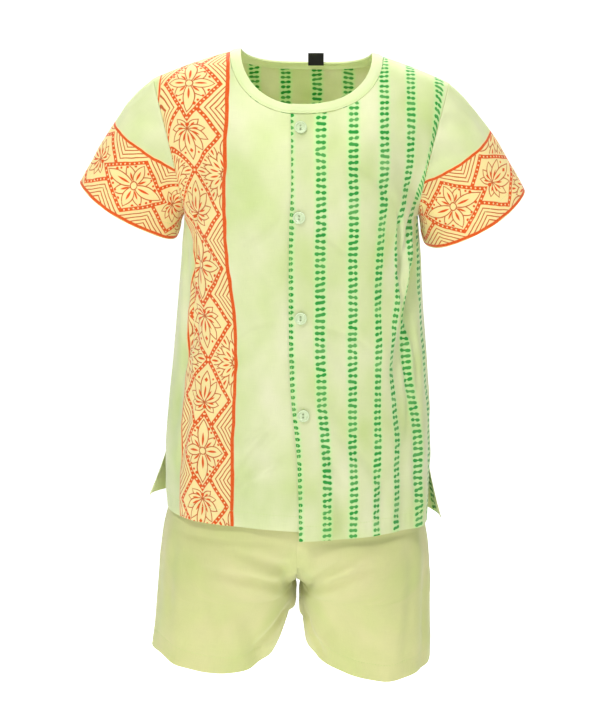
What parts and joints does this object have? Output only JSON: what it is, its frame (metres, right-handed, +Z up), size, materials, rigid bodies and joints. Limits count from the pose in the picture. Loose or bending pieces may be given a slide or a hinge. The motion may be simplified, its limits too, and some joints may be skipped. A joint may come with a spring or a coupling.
{
  "type": "child's shirt and shorts set",
  "caption": "Child's short-sleeved round-neck button-front cotton shirt worn over matching plain elasticated shorts, filled out as if worn.",
  "frame": {"origin": "midway between the two points where the shoulder seams meet the neck, where the wearer's shoulders hold the shirt", "axes": "+X towards the wearer's left (right in the picture), +Y towards the wearer's back, +Z up"},
  "size_m": [0.4108, 0.1954, 0.5892],
  "materials": {
    "shirt_cloth": "pale lime plain-weave cotton, matte",
    "binding_cloth": "pale lime cotton strip, matte",
    "shorts_cloth": "lime plain-weave cotton, matte",
    "button_shell": "pale green, satin gloss",
    "label_cloth": "black woven tape, matte"
  },
  "bodies": {
    "root": {"shirt_front_right": "shirt_cloth", "shirt_front_left": "shirt_cloth", "shirt_back": "shirt_cloth", "sleeve_right": "shirt_cloth", "sleeve_left": "shirt_cloth", "neck_binding": "binding_cloth", "button_1": "button_shell", "button_2": "button_shell", "button_3": "button_shell", "button_4": "button_shell", "neck_label": "label_cloth", "shorts_front_right": "shorts_cloth", "shorts_front_left": "shorts_cloth", "shorts_back_right": "shorts_cloth", "shorts_back_left": "shorts_cloth", "waistband": "shorts_cloth"}
  },
  "joints": []
}
